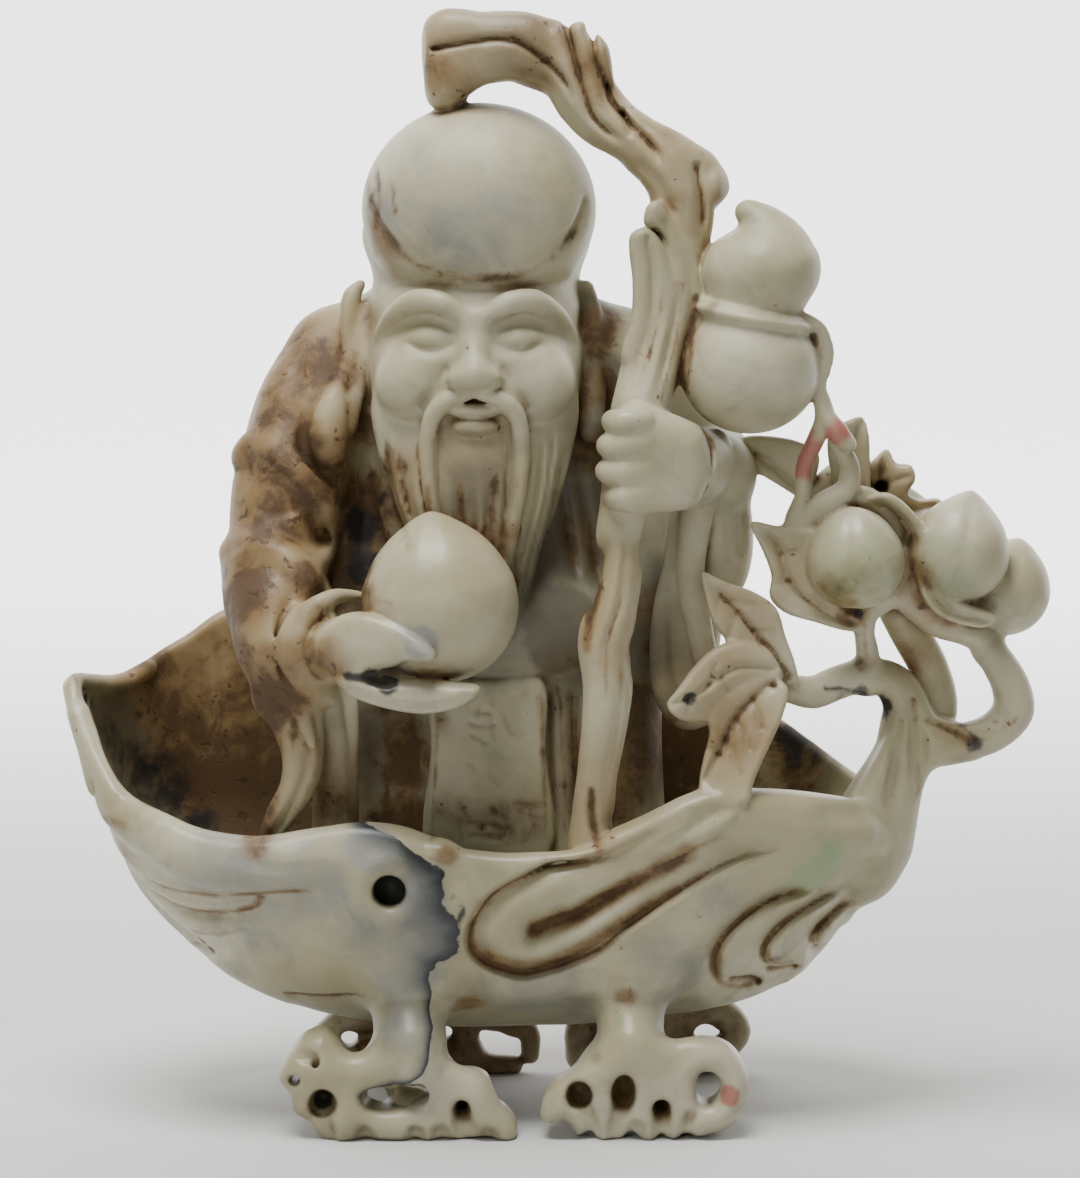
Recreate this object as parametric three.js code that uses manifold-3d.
// A stone carving of an old sage who stands in a hollowed log boat. He holds a peach and a knotted staff with a
// gourd tied to it, a peach tree grows from the bow, and the boat stands on four pierced feet.
// Millimetres. +X is towards the bow, -Y is the front that the sage faces, +Z is up.

import * as THREE from "three";
import { mergeVertices } from "three/addons/utils/BufferGeometryUtils.js";
import Module from "manifold-3d";

// Driving sizes. The places in the functions below are drawn at drawnHeight and scaled to carvingHeight.
const drawnHeight = 207;
const carvingHeight = 207;
const hullWall = 5.5;
const hullFloor = 8;
const eyeHoleDiameter = 6.4;
const eyeHoleDepth = 9;
const grooveWidth = 3.4;
const footHoleDiameter = 4.6;
const footThickness = 11;
const staffDiameter = 10;
const gourdDiameter = 26;
const handPeachDiameter = 27;
const treePeachDiameter = 19.5;
const leafThickness = 3.4;
const smallestFeature = 0.5;

const scale = carvingHeight / drawnHeight;
const wasm = await Module();
wasm.setup();

// Solids

// A closed three.js geometry as a solid, scaled from drawn places to the real height.
function solidOf(geometry) {
  const g = geometry.index ? geometry.toNonIndexed() : geometry.clone();
  g.deleteAttribute("normal");
  g.deleteAttribute("uv");
  const merged = mergeVertices(g.scale(scale, scale, scale), 1e-3);
  return new wasm.Manifold(
    new wasm.Mesh({
      numProp: 3,
      vertProperties: new Float32Array(merged.attributes.position.array),
      triVerts: new Uint32Array(merged.index.array),
    }),
  );
}

const join = (...solids) => solids.flat().reduce((a, b) => a.add(b));

// A closed surface through rings of points, each ring ordered the same way, with a fan on the first and last ring.
function loft(rings) {
  const around = rings[0].length;
  const points = rings.flat();
  const middle = (ring) =>
    ring.reduce((a, p) => a.add(p), new THREE.Vector3()).divideScalar(around);
  points.push(middle(rings[0]), middle(rings.at(-1)));
  const start = points.length - 2;
  const faces = [];
  rings.slice(1).forEach((ring, i) => {
    for (let j = 0; j < around; j++) {
      const a = i * around + j;
      const b = i * around + ((j + 1) % around);
      faces.push(a, b, b + around, a, b + around, a + around);
    }
  });
  const last = (rings.length - 1) * around;
  for (let j = 0; j < around; j++) {
    const k = (j + 1) % around;
    faces.push(start, k, j, start + 1, last + j, last + k);
  }
  const geometry = new THREE.BufferGeometry().setFromPoints(points);
  geometry.setIndex(faces);
  const solid = solidOf(geometry);
  return solid.volume() > 0 ? solid : solidOf(turnedOut(geometry));
}

function turnedOut(geometry) {
  const index = Array.from(geometry.index.array);
  for (let i = 0; i < index.length; i += 3)
    [index[i], index[i + 1]] = [index[i + 1], index[i]];
  return geometry.setIndex(index);
}

// A limb, stick or strand: a round or flattened section carried along a smooth line.
// points are [x, y, z, radius]. flat is the section's thickness over its width, and facing is the flat side's normal.
function limb(points, { sides = 8, steps, flat = 1, facing = [0, 1, 0], blunt = 0.8 } = {}) {
  const line = new THREE.CatmullRomCurve3(
    points.map(([x, y, z]) => new THREE.Vector3(x, y, z)),
    false,
    "centripetal",
  );
  const count = steps ?? Math.round((points.length - 1) * 1.5);
  const radii = points.map((p) => p[3]);
  const radiusAt = (t) => {
    const at = t * (radii.length - 1);
    const i = Math.min(Math.floor(at), radii.length - 2);
    return THREE.MathUtils.lerp(radii[i], radii[i + 1], THREE.MathUtils.smoothstep(at - i, 0, 1));
  };
  const normal = new THREE.Vector3(...facing).normalize();
  const ringAt = (t, shrink, shift) => {
    const along = line.getTangent(t);
    const wide = new THREE.Vector3().crossVectors(along, normal).normalize();
    const thick = new THREE.Vector3().crossVectors(wide, along).normalize();
    const centre = line.getPoint(t).addScaledVector(along, shift * radiusAt(t));
    const r = radiusAt(t) * shrink;
    return Array.from({ length: sides }, (_, j) => {
      const a = ((j + 0.5) / sides) * Math.PI * 2;
      return centre
        .clone()
        .addScaledVector(wide, Math.cos(a) * r)
        .addScaledVector(thick, Math.sin(a) * r * flat);
    });
  };
  const rings = [ringAt(0, 0.6, -blunt)];
  for (let i = 0; i <= count; i++) rings.push(ringAt(i / count, 1, 0));
  rings.push(ringAt(1, 0.6, blunt));
  return loft(rings);
}

// An egg-shaped swelling with half sizes [x, y, z], turned by degrees about X, Y and Z.
function swelling([x, y, z], half, { turn = [0, 0, 0], sides = 12 } = {}) {
  const geometry = new THREE.SphereGeometry(1, sides, Math.round(sides * 0.6));
  geometry.rotateX(Math.PI / 2);
  geometry.scale(...half);
  const [a, b, c] = turn.map(THREE.MathUtils.degToRad);
  geometry.applyMatrix4(
    new THREE.Matrix4().makeRotationFromEuler(new THREE.Euler(a, b, c)),
  );
  return solidOf(geometry.translate(x, y, z));
}

// A straight round bore through a place, running from front to back.
function bore([x, y, z], diameter, length, sides = 10) {
  return solidOf(new THREE.CylinderGeometry(diameter / 2, diameter / 2, length, sides).translate(x, y, z));
}

// A turned shape from a profile of [radius, height] points, stood at a place with its axis along up.
function turned([x, y, z], profile, { sides = 13, up = [0, 0, 1] } = {}) {
  const curve = new THREE.SplineCurve(profile.map(([r, h]) => new THREE.Vector2(r, h)));
  const points = curve.getPoints(profile.length + 1).map((p) => new THREE.Vector2(Math.max(p.x, 0), p.y));
  points[0].x = 0;
  points.at(-1).x = 0;
  const geometry = new THREE.LatheGeometry(points, sides);
  const turn = new THREE.Quaternion().setFromUnitVectors(
    new THREE.Vector3(0, 1, 0),
    new THREE.Vector3(...up).normalize(),
  );
  geometry.applyQuaternion(turn);
  return solidOf(geometry.translate(x, y, z));
}

// A value read along a line of [place, value] points, joined by straight stretches.
function along(line, at) {
  const i = line.findIndex(([x]) => x >= at);
  if (i <= 0) return i < 0 ? line.at(-1)[1] : line[0][1];
  const [[x0, v0], [x1, v1]] = [line[i - 1], line[i]];
  return v0 + ((v1 - v0) * (at - x0)) / (x1 - x0);
}

// The boat

const sternX = -94;
const bowX = 68;
const keelLine = [
  [-94, 82], [-92, 76], [-89, 66.5], [-86.5, 57], [-84, 47.5], [-80, 40], [-73.5, 33], [-67.5, 28], [-60.5, 23.5],
  [-53, 20], [-44, 17.5], [-34, 16], [-18, 15], [3, 15.5], [14, 16.5], [26, 18], [36, 20], [46, 24.5], [52.5, 31],
  [56, 36], [60, 41], [64, 46], [68, 56],
];
const frontRim = [
  [-94, 82.5], [-90, 74], [-84, 65], [-76.5, 60.5], [-67, 56.5], [-55.5, 56], [-45, 58.5], [-37, 59.5], [-29.5, 57.5],
  [-23.5, 55.5], [-10, 54], [2, 54.5], [11, 56.5], [17.5, 59], [24, 64], [29, 65], [42, 63.5], [55, 61.5], [68, 57],
];
const backRim = [
  [-94, 83.5], [-88.5, 80.5], [-83, 81], [-77, 85], [-71, 88], [-67, 91.5], [-50, 96], [-19, 93], [9, 86], [30, 77],
  [44, 70.5], [52.5, 64.5], [58, 61], [68, 57.5],
];
const beam = [
  [-94, 1.5], [-90, 8], [-85, 15], [-79, 21], [-70, 27], [-56, 32], [-40, 34.5], [0, 36], [30, 34], [45, 29],
  [55, 22.5], [63, 14], [68, 7],
];

// One cross-section of the log: round below, then the front wall and the higher back wall, each with a flat rim.
function hullSection(x, { inset = 0, floor = 0, raise = 0, steps }) {
  const keel = along(keelLine, x) + floor;
  const front = along(frontRim, x);
  const back = along(backRim, x);
  const half = Math.max(along(beam, x) - inset, 0.6);
  const round = Math.max(Math.min(half, front - keel), 1);
  const waist = keel + round;
  const rim = Math.min(9, half * 0.6);
  const high = Math.max(back, waist + 0.5) + raise;
  const low = Math.max(front, waist + 0.5) + raise;
  const ring = [];
  for (let i = 0; i <= steps; i++) {
    const a = Math.PI + (i / steps) * Math.PI;
    ring.push(new THREE.Vector3(x, half * Math.cos(a), waist + round * Math.sin(a)));
  }
  ring.push(new THREE.Vector3(x, half, high), new THREE.Vector3(x, half - rim, high));
  ring.push(new THREE.Vector3(x, rim - half, low), new THREE.Vector3(x, -half, low));
  return ring;
}

function hull() {
  const stations = (from, to, count) =>
    Array.from({ length: count + 1 }, (_, i) => from + ((to - from) * i) / count);
  const outer = loft(stations(sternX, bowX, 22).map((x) => hullSection(x, { steps: 11 })));
  const hollow = { inset: hullWall / scale, floor: hullFloor / scale, raise: 60, steps: 8 };
  const inner = loft(stations(sternX + 6, bowX - 9, 13).map((x) => hullSection(x, hollow)));
  return outer.subtract(inner);
}

// How far forward the outside of the hull stands at a place on its front.
function hullFront(x, z) {
  const keel = along(keelLine, x);
  const half = along(beam, x);
  const round = Math.max(Math.min(half, along(frontRim, x) - keel), 1);
  const below = THREE.MathUtils.clamp((keel + round - z) / round, 0, 0.96);
  return -half * Math.sqrt(1 - below * below);
}

// A line of [x, z, radius] points laid on the front of the hull, sunk into it by depth.
const onHull = (points, depth = 0) => points.map(([x, z, r]) => [x, hullFront(x, z) + depth, z, r]);

function hullCarving() {
  const r = grooveWidth / scale / 2;
  const groove = (points, steps) =>
    limb(onHull(points.map(([x, z, wide = 1]) => [x, z, r * wide])), { sides: 5, steps });
  const ridges = [
    limb(onHull([[-90, 76, 2], [-84.5, 61, 3.4], [-76, 55.5, 4.4], [-64, 51.5, 4.8], [-50, 51.5, 4.6], [-37, 54, 3.4]], 1.6)),
    limb(onHull([[12, 56, 3], [27, 60, 5], [42, 58.5, 6], [54, 55, 6], [62, 51, 4]], 3)),
    swelling([-31, -31, 47.5], [11, 5.5, 10]),
    swelling([-21.5, -33, 54], [3.4, 3.4, 3]),
  ];
  const grooves = [
    groove([[-83, 57, 0.5], [-76, 50.5], [-68, 47], [-55, 45.5], [-47, 45.5, 0.4]], 6),
    groove([[-80, 49.5, 0.5], [-72.5, 44, 0.8], [-65, 42, 0.8], [-56, 44.5, 0.5]], 5),
    groove([[-77, 42, 0.5], [-70, 39, 0.8], [-58, 39, 0.5]], 4),
    groove([[22.5, 60.5, 0.6], [7.5, 54.5], [-7, 50], [-15, 43.5], [-16, 36], [-8, 30.5], [3, 33], [17.5, 43], [29, 50.5], [48, 55, 0.5]], 16),
    groove([[-4, 41, 1.8], [5, 45.5, 1.5], [18.5, 52.5, 1.1], [37, 59, 0.5]], 5),
    groove([[46, 44.5, 0.5], [37, 42.5], [31, 36], [31, 28, 0.8]], 5),
    groove([[49, 42, 0.5], [41.5, 38], [39, 32.5], [48, 31, 0.6]], 5),
  ];
  return { ridges, grooves };
}

// The sage

// A body of level rings: [height, middle x, middle y, half width, half depth], with folds that fade above a height.
function draped(levels, { sides, folds, depth, foldsTop = Infinity }) {
  return loft(
    levels.map(([z, x, y, wide, deep]) =>
      Array.from({ length: sides }, (_, j) => {
        const a = (j / sides) * Math.PI * 2;
        const fold = 1 + (z < foldsTop ? depth : depth / 3) * Math.cos(folds * a);
        return new THREE.Vector3(x + wide * fold * Math.cos(a), y + deep * fold * Math.sin(a), z);
      }),
    ),
  );
}

function robe() {
  const gown = draped(
    [
      [20, -10, 3, 29, 17], [50, -10, 3, 29, 16], [77, -11, 3, 28.5, 14.5], [80, -12, 3, 29, 16.5], [96, -14, 3, 29, 17],
      [114, -17, 4, 29, 15], [132, -17, 4, 31, 14.5], [147, -17, 3, 31, 13], [153, -16, 3, 24, 11], [157, -15, 3, 13, 8],
    ],
    { sides: 20, folds: 8, depth: 0.05, foldsTop: 78 },
  );
  const apron = limb([[-10.5, -12.5, 24, 12.5], [-10.5, -12, 50, 12], [-11, -11, 75, 11.5]], { flat: 0.35, sides: 8 });
  const belly = swelling([-8, -4, 92], [21, 14, 13], { sides: 12 });
  const coat = [
    limb([[16, 3, 142, 9], [18.5, 3, 120, 9.5], [18, 2, 104, 9.5], [14, 2, 90, 8.5], [10, 3, 74, 9.5], [10, 3, 50, 10.5]], { steps: 6 }),
    limb([[-40, 1, 132, 5], [-42, -1, 110, 7], [-42, -3, 92, 7], [-40, -3, 78, 6]], { steps: 4 }),
  ];
  return [gown, apron, belly, ...coat];
}

function head() {
  const middle = -15.3;
  const pair = (make) => [-1, 1].flatMap(make);
  return [
    swelling([-14.6, -5, 171], [21.8, 20, 20], { sides: 16 }),
    swelling([-15, 1, 154], [20, 17, 30], { sides: 12 }),
    swelling([middle, -8, 143], [20.5, 16.5, 20], { sides: 12 }),
    limb([[middle, -22.5, 151, 2.2], [middle, -25.5, 145, 2.6], [middle, -26.5, 141.5, 3.4]], { sides: 8, steps: 2 }),
    ...pair((side) => [
      limb([[middle + side * 2, -23, 151, 2], [middle + side * 8, -23.5, 155, 2.4], [middle + side * 17, -17, 149, 1.6]], { sides: 6 }),
      swelling([middle + side * 10.5, -19.5, 140], [7, 5.5, 6], { sides: 8 }),
      swelling([middle + side * 8, -21, 148], [4.4, 3, 2.4], { sides: 8 }),
      swelling([middle + side * 3.2, -25, 141], [2.2, 2.4, 1.8], { sides: 6 }),
      limb([[middle + side * 1.5, -25.5, 138.5, 1.6], [middle + side * 7.5, -25, 135.5, 1.9], [middle + side * 9.5, -24.5, 126, 1.8], [middle + side * 8.5, -24, 112, 1.4]], { sides: 6, steps: 5 }),
    ]),
    limb([[-38.5, 0, 155, 3], [-39.5, -2, 146.5, 3], [-40, -4, 138, 3.2], [-40.5, -6, 127, 3]], { sides: 6, steps: 3 }),
    limb([[6, 1, 154, 2], [6.5, 0, 146, 2.6], [7, -2, 139, 2.6], [6, -3, 130, 2.6]], { sides: 6, steps: 3 }),
  ];
}

// A long beard whose locks are shallow flutes.
function beard() {
  return draped(
    [
      [138, -15.3, -13, 17, 9], [128, -15.5, -14, 18, 10], [118, -15.8, -14.5, 16.5, 10], [108, -15, -15, 13, 9],
      [99, -13.5, -15, 9, 7], [93, -12.5, -15, 4, 4],
    ],
    { sides: 20, folds: 10, depth: 0.05 },
  );
}

function peachArm() {
  return [
    limb([[-43, 3, 143, 9], [-48.5, -3, 130, 10], [-51, -6, 117, 10.8], [-52, -10, 105.5, 10.8], [-52, -16, 96, 9.5], [-48, -22, 91, 8.5], [-43, -27, 91, 7]], { sides: 10, steps: 8 }),
    limb([[-50, -22, 90, 5], [-49.5, -23, 80, 5.2], [-49, -23, 70, 5.2], [-51, -22, 60, 3.4]], { flat: 0.6, steps: 4 }),
    limb([[-44, -16, 84, 5], [-42, -15, 70, 5], [-42, -14, 52, 5]], { flat: 0.6, steps: 2 }),
    swelling([-58, -5, 124.5], [3, 4, 3.4], { sides: 8 }),
    limb([[-42, -30, 92, 6.5], [-35, -33, 92, 7], [-29, -35, 89, 5]], { steps: 3 }),
    limb([[-35, -35, 95, 4], [-28.5, -38.5, 95, 3.6], [-22, -41, 93.2, 1.4]], { sides: 6, steps: 3 }),
    limb([[-40, -32, 87.5, 3.8], [-34, -35.5, 84.5, 3.8], [-25, -38, 83.8, 3.4], [-15, -38, 86, 1.8]], { steps: 5 }),
  ];
}

function staffArm() {
  const knuckle = (z, i) => swelling([i === 3 ? 12.5 : 11, -30, z], [3.6, 4.6, 2.5], { sides: 8 });
  return [
    limb([[12, 4, 143, 10], [21, 2, 131, 10], [30, -6, 121, 8.5], [28, -15, 123, 8]], { sides: 8, steps: 5 }),
    limb([[30, -16, 124, 4.5], [33, -16, 115, 5.5], [32, -15, 105, 5.5], [27, -14, 92, 4.5], [24, -13, 78, 4]], { sides: 6, flat: 0.6, steps: 6 }),
    limb([[25, -19, 122, 3], [22.5, -18, 111, 3], [24, -17, 98, 3], [25, -15, 84, 3.4]], { sides: 6, steps: 4 }),
    limb([[29, -18, 124, 8.5], [21, -24, 126.5, 9.4], [15, -28, 127.5, 8.6]], { steps: 3 }),
    swelling([31, -12, 115], [7, 7, 12], { sides: 10 }),
    ...[134.5, 130.3, 126, 121.8].map(knuckle),
  ];
}

// A peach with its pointed tip along up.
function peach(place, diameter, up) {
  const r = diameter / scale / 2;
  const profile = [[0, -0.96], [0.62, -0.78], [0.98, -0.1], [0.85, 0.5], [0.4, 0.97], [0.12, 1.14], [0, 1.18]];
  return turned(place, profile.map(([wide, high]) => [wide * r, high * r]), { up });
}

// The staff, its bent root head and the gourd

function staff() {
  const r = staffDiameter / scale / 2;
  const pole = [
    [6.5, -31, 54, 1], [6.5, -31, 66, 0.76], [7.2, -31, 82, 0.84], [7.8, -30, 97, 1.04], [10.5, -29, 111.5, 0.94],
    [13, -26, 126, 1], [17, -22, 140.5, 1.14], [20, -19, 155, 1.14], [21, -17, 165, 1.1],
  ];
  const head = [
    [21, -16, 160, 1], [23.5, -15.5, 169, 1.1], [22.5, -15, 177.5, 1.24], [15, -13.5, 183, 1.08], [8.5, -12, 187.5, 1.1],
    [4.5, -11, 192.5, 1.2], [1, -10, 198.5, 1.26], [-6, -9, 201, 1.22], [-15, -7, 200.5, 1.4], [-23, -6, 199.5, 1.74],
  ];
  const sized = (points) => points.map(([x, y, z, wide]) => [x, y, z, wide * r]);
  return [
    limb(sized(pole), { steps: 14 }),
    limb(sized(head), { sides: 10, steps: 18, blunt: 0.2 }),
    limb([[17, -20, 152, 3.4], [16.5, -19.5, 161, 3.2], [17.5, -18, 169, 1.8]], { sides: 6, steps: 3 }),
    limb([[21.5, -20, 154, 3.6], [21, -19, 163, 3.4], [19, -17.5, 171, 1.8]], { sides: 6, steps: 3 }),
    limb([[4, -12, 203, 3], [6, -12, 199, 4], [8, -12, 192, 3]], { sides: 6, steps: 3 }),
    limb([[24, -14, 178, 5], [28.5, -14, 174, 3]], { sides: 6, steps: 1 }),
  ];
}

function gourd() {
  const r = gourdDiameter / scale / 2;
  const profile = [
    [0, -0.97], [0.62, -0.8], [1, -0.05], [0.72, 0.68], [0.5, 0.92], [0.66, 1.2], [0.85, 1.66], [0.6, 2.15],
    [0, 2.3],
  ];
  return [
    turned([35.3, -20, 142], profile.map(([wide, high]) => [wide * r, high * r]), { up: [0.05, 0, 1] }),
    limb([[38, -20, 165, 7], [36.5, -20, 169, 4.6], [34, -20, 171, 2.4], [32.4, -20.5, 169.5, 1.5]], { sides: 6 }),
    turned([35.8, -20, 153.5], [[0, -1.6], [r * 0.66, -1.6], [r * 0.84, 0], [r * 0.66, 1.6], [0, 1.6]], { up: [0.1, 0, 1] }),
    limb([[44.5, -20, 152, 2], [48, -20, 146, 2], [47, -20, 138, 2]], { sides: 6, steps: 3 }),
    limb([[47, -20, 140, 1.9], [48.5, -20, 135, 1.9], [46.5, -20, 123, 2], [45, -19, 115, 2]], { sides: 6, steps: 5 }),
    limb([[49, -20, 131.5, 1.8], [53, -20, 128, 1.7], [54, -20, 122, 1.9], [51, -20, 117, 2.2], [46, -19, 114, 2]], { sides: 6, steps: 6 }),
  ];
}

// The peach tree

// A leaf: a flat blade of [x, y, z, half width] points from tip to stem, its flat side along facing.
function leaf(points, facing) {
  const widest = Math.max(...points.map((p) => p[3]));
  return limb(points, { flat: leafThickness / scale / 2 / widest, facing, sides: 6, blunt: 0.4, steps: points.length });
}

function tree() {
  const wood = [
    [[58, -9, 50, 8], [61, -10, 60, 7.4], [62.5, -12, 66, 6.8], [64, -12, 73, 5.8]],
    [[64, -12, 72, 5.4], [73, -12, 71.8, 3.8], [77, -12, 70.5, 2.3]],
    [[64, -12, 74, 5.2], [63.5, -12, 80.5, 4.2], [57.5, -15, 83.3, 3.3], [52, -17, 83.5, 3.5], [47.5, -19, 82, 3.2], [42, -21, 83.5, 2.6]],
    [[58, -15, 84.5, 2.7], [58.3, -16, 90.5, 2.2], [57.5, -18, 97, 2.6]],
    [[68, -9, 73, 4.4], [70.5, -8, 79, 3.8], [69.5, -8, 86, 3.6], [64.5, -8, 96, 3.4], [61, -8, 106, 3.2], [61, -7, 117, 3]],
    [[68, -12, 72, 4.9], [75.5, -12, 71, 3.6], [82, -12, 73, 3.8], [85.6, -12, 79, 4], [84, -12, 85, 3.3], [80, -12, 89.5, 2.9], [71.5, -13, 93, 2.8], [63, -15, 100.5, 2.8]],
    [[83, -11, 86, 3], [83, -10, 91, 3], [83.5, -9, 95, 3]],
    [[58, -6, 117, 4], [62.5, -4, 120.5, 4.8], [66.5, -5, 118.5, 3.2], [70.5, -8, 115.5, 2.6]],
    [[51.5, -14, 133, 1.5], [53.5, -14, 128.5, 3.8], [54, -15, 124, 3.4], [52, -16, 118, 3]],
    [[43, -19, 111.5, 1.8], [46, -19, 115.5, 2.7], [51.5, -18, 118, 2.8], [58, -16, 116, 2.6], [65, -14, 110.5, 2.4]],
  ];
  const leaves = [
    leaf([[25.5, -25, 105.5, 1.2], [29, -25, 101, 4.4], [34.5, -24, 96, 5.8], [40, -23, 92, 4.6], [45, -22, 86, 2]], [0.5, -1, 0.3]),
    leaf([[18.5, -30, 82, 1.6], [24.5, -29, 84, 5], [31, -28, 87, 5.4], [37.5, -25, 88, 4], [44, -22, 84, 2.4]], [0, -1, 0.5]),
    leaf([[30.5, -29, 61, 4.6], [31.5, -29, 70, 5.6], [33, -28, 76, 5.4], [36.5, -26, 81, 4], [41, -23, 84, 2.2]], [0, -1, 0.2]),
    leaf([[35, -20, 113.5, 1.2], [40, -19, 109, 3.8], [43.5, -18, 103, 4.8], [48, -18, 98.5, 4.4], [54, -18, 95.5, 3]], [0.4, -1, 0]),
    leaf([[30, -6, 127, 2.4], [37, -7, 125, 3.6], [42, -7, 122, 4], [49, -8, 117, 3]], [0, -1, 0]),
  ];
  const fruit = [
    peach([54, -22, 106.8], treePeachDiameter * 0.96, [0.1, -0.25, 1]),
    peach([74.3, -16, 107.8], treePeachDiameter, [0.25, 0, 1]),
    peach([83.8, -8, 100], treePeachDiameter * 0.92, [0.25, 0, 1]),
  ];
  return [...wood.map((points) => limb(points, { sides: 6, steps: points.length })), ...leaves, ...fruit];
}

// The feet

// A foot: a leg that spreads into root-like lobes, with small bores right through. Lines are [x, z, radius] at depth y.
function foot(y, lines, bores) {
  const roots = lines.map((points) =>
    limb(points.map(([x, z, r]) => [x, z > 20 ? y * 0.85 : y, z, r]), { sides: 7, steps: points.length }),
  );
  const length = (footThickness / scale) * 2;
  const through = bores.map(([x, z, wide]) => bore([x, y, z], (wide * footHoleDiameter) / scale, length, 7));
  return join(roots).subtract(join(through));
}

function feet() {
  return [
    foot(
      -27,
      [
        [[-27.5, 27, 7.5], [-27.5, 18, 7], [-27, 10, 8]],
        [[-26, 12, 7.5], [-38, 13, 5.6], [-46.5, 13.2, 4.4]],
        [[-48.5, 10, 3], [-45, 5.5, 4.6], [-36, 4.5, 4.8], [-20, 4.5, 5.4], [-11, 4, 4.4]],
        [[-24, 12, 7], [-15, 9, 5]],
        [[-38, 2, 3.6], [-14, 2, 3.6]],
      ],
      [[-44, 6.5, 1], [-34, 7.4, 1], [-30.5, 7, 1], [-18, 5.8, 0.8]],
    ),
    foot(
      -27,
      [
        [[13.5, 27, 7], [13.5, 18, 6.2], [13, 10, 7.5]],
        [[12, 12, 6.5], [4, 9, 5.4], [-0.5, 4.8, 3.2]],
        [[2, 4.2, 3.6], [12, 4, 4.6], [22, 4.6, 3.8]],
        [[17, 13.5, 5.5], [26.5, 16.3, 3], [31.8, 11, 3], [29.5, 5.6, 2.9], [22, 4.6, 3.4]],
        [[8, 1.5, 3], [18, 1.5, 3]],
      ],
      [[4.5, 7.5, 1], [11.8, 8.8, 1], [19.5, 5.7, 0.8]],
    ),
    foot(
      23,
      [
        [[-27, 28, 8], [-27, 16, 7.5], [-27, 8, 6]],
        [[-28, 12, 5.5], [-40, 12, 4.5], [-46, 8, 3.5]],
        [[-42, 4, 4], [-28, 4, 5], [-15, 3.6, 3.8]],
        [[-24, 12, 5], [-12, 11, 4], [-6.5, 7, 2.8]],
        [[-16, 14, 4.5], [-16, 4, 3]],
      ],
      [[-41, 6.5, 0.8], [-20.5, 7, 0.8], [-12, 6, 0.8]],
    ),
    foot(
      23,
      [
        [[20, 28, 8], [20, 16, 7.5], [20, 8, 6]],
        [[18, 12, 5.5], [7, 14, 4], [4, 4, 3.6]],
        [[5, 3.6, 3.8], [18, 4, 5], [28, 4, 4]],
        [[24, 13, 5], [33, 12, 4], [35, 6, 3], [27, 3.5, 3]],
      ],
      [[11, 8.5, 1], [29, 8, 0.8]],
    ),
  ];
}

function carving() {
  const { ridges, grooves } = hullCarving();
  const eye = bore([-31, -38, 47.5], eyeHoleDiameter / scale, (eyeHoleDepth * 2) / scale);
  const boat = join(hull(), ridges).subtract(join(grooves)).subtract(eye);
  const whole = join(
    boat, feet(), robe(), head(), beard(), peachArm(), staffArm(), staff(), gourd(), tree(),
    peach([-19.3, -29, 97.5], handPeachDiameter, [-0.2, 0, 1]),
  );
  const ground = solidOf(new THREE.BoxGeometry(400, 400, 40).translate(0, 0, -20));
  return largest(whole.subtract(ground).asOriginal().simplify(smallestFeature));
}

// The one outer body, with any small pocket sealed between joined forms filled.
function largest(solid) {
  return solid.decompose().sort((a, b) => b.volume() - a.volume())[0];
}

function meshOf(solid, name, material) {
  const { vertProperties, triVerts } = solid.getMesh();
  const geometry = new THREE.BufferGeometry();
  geometry.setAttribute("position", new THREE.BufferAttribute(vertProperties, 3));
  geometry.setIndex(new THREE.BufferAttribute(triVerts, 1));
  geometry.computeBoundingBox();
  const { min, max } = geometry.boundingBox;
  geometry.translate(-(min.x + max.x) / 2, -(min.y + max.y) / 2, -min.z);
  const mesh = new THREE.Mesh(geometry, material);
  mesh.name = name;
  return mesh;
}

const stone = new THREE.MeshStandardMaterial({ color: 0xc9c3b2, roughness: 0.35, metalness: 0 });
const figure = new THREE.Group();
figure.add(meshOf(carving(), "shou_lao_carving", stone));

export default figure;
